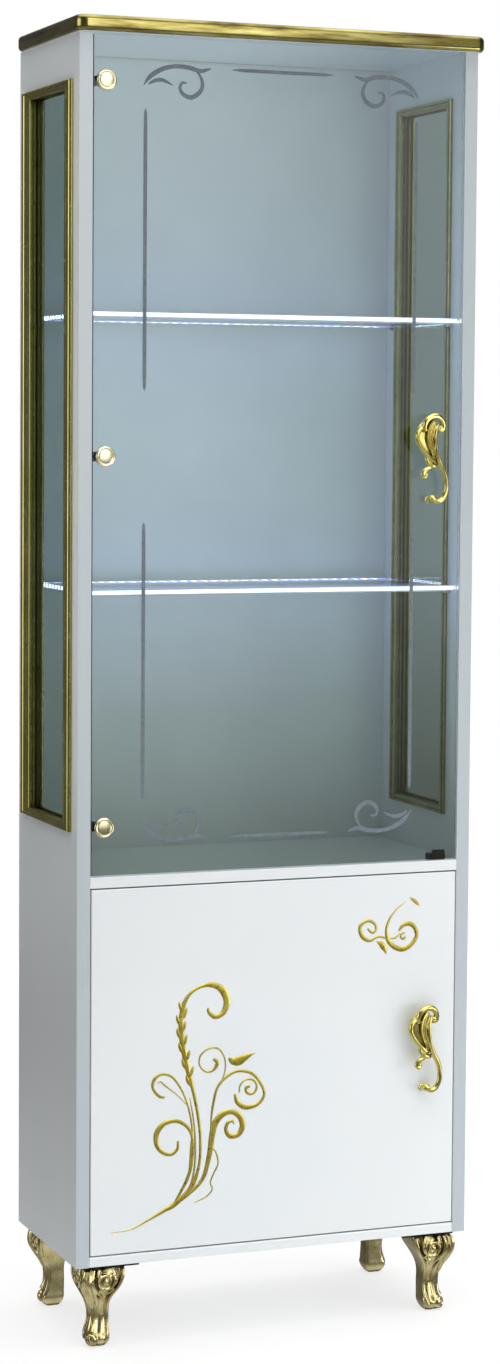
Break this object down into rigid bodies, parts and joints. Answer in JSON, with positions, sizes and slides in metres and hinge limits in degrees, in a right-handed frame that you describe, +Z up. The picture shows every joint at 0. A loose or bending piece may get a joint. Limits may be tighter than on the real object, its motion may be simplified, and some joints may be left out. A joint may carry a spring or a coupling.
{
  "type": "curio cabinet",
  "caption": "Tall display cabinet on ornate gold cabriole legs: smoked glass door with lit glass shelves and side windows above, white lacquered cupboard door with gold scrolls below.",
  "frame": {"origin": "on the floor, under the middle of the whole cabinet's box, handles included", "axes": "+X to the cabinet's right as seen from the front, -Y out of its front, +Z up"},
  "size_m": [0.636, 0.312, 1.92],
  "materials": {
    "white_lacquer": "high-gloss white lacquer over board",
    "back_board": "satin pale grey coated board",
    "gold_cornice": "polished gold anodised",
    "gold_moulding": "metallised gold moulding",
    "polished_gold": "polished gold plate",
    "antique_gold": "gilt casting, darkened in its recesses",
    "gold_leaf": "metallised gold inlay",
    "smoked_glass": "smoked grey tempered glass",
    "shelf_glass": "clear tempered glass, polished edges",
    "led_profile": "anodised, opal diffuser",
    "steel_fittings": "nickel plated",
    "dark_metal": "black",
    "white_plastic": "matt",
    "black_plastic": "matt"
  },
  "bodies": {
    "carcass": {"side_panel_left": "white_lacquer", "side_panel_right": "white_lacquer", "top_board": "white_lacquer", "cornice_trim": "gold_cornice", "mid_panel": "white_lacquer", "bottom_panel": "white_lacquer", "back_panel": "back_board", "cupboard_shelf": "white_lacquer", "window_frame_outer_left": "gold_moulding", "window_frame_inner_left": "gold_moulding", "window_pane_left": "smoked_glass", "window_frame_outer_right": "gold_moulding", "window_frame_inner_right": "gold_moulding", "window_pane_right": "smoked_glass", "glass_shelf_upper": "shelf_glass", "led_profile_upper_front": "led_profile", "led_profile_upper_rear": "led_profile", "shelf_pin_upper_front_left": "steel_fittings", "shelf_pin_upper_front_right": "steel_fittings", "shelf_pin_upper_rear_left": "steel_fittings", "shelf_pin_upper_rear_right": "steel_fittings", "glass_shelf_lower": "shelf_glass", "led_profile_lower_front": "led_profile", "led_profile_lower_rear": "led_profile", "shelf_pin_lower_front_left": "steel_fittings", "shelf_pin_lower_front_right": "steel_fittings", "shelf_pin_lower_rear_left": "steel_fittings", "shelf_pin_lower_rear_right": "steel_fittings", "led_driver": "white_plastic", "led_cable_duct": "white_plastic", "cable_grommet": "black_plastic", "leg_front_left": "antique_gold", "leg_plate_front_left": "dark_metal", "leg_front_right": "antique_gold", "leg_plate_front_right": "dark_metal", "leg_rear_left": "antique_gold", "leg_plate_rear_left": "dark_metal", "leg_rear_right": "antique_gold", "leg_plate_rear_right": "dark_metal", "glass_hinge_arm_top": "dark_metal", "glass_hinge_arm_middle": "dark_metal", "glass_hinge_arm_bottom": "dark_metal", "glass_door_catch": "dark_metal", "cupboard_hinge_arm_top": "steel_fittings", "cupboard_hinge_arm_bottom": "steel_fittings", "cupboard_door_catch": "white_plastic"},
    "glass_door": {"glass_door_pane": "smoked_glass", "glass_hinge_top": "polished_gold", "glass_hinge_middle": "polished_gold", "glass_hinge_bottom": "polished_gold", "glass_door_handle": "polished_gold", "glass_door_strike": "dark_metal"},
    "cupboard_door": {"cupboard_door_panel": "white_lacquer", "cupboard_hinge_cup_top": "steel_fittings", "cupboard_hinge_cup_bottom": "steel_fittings", "cupboard_door_handle": "polished_gold", "cupboard_door_strike": "steel_fittings", "scroll_inlay_large": "gold_leaf", "scroll_inlay_small": "gold_leaf"}
  },
  "joints": [
    {"name": "glass_door_swing", "type": "hinge", "parent": "carcass", "child": "glass_door", "pos_m": [-0.288, -0.12785, 1.296], "axis": [0, 0, -1], "range_deg": [0, 95]},
    {"name": "cupboard_door_swing", "type": "hinge", "parent": "carcass", "child": "cupboard_door", "pos_m": [-0.288, -0.12885, 0.408], "axis": [0, 0, -1], "range_deg": [0, 105]}
  ]
}
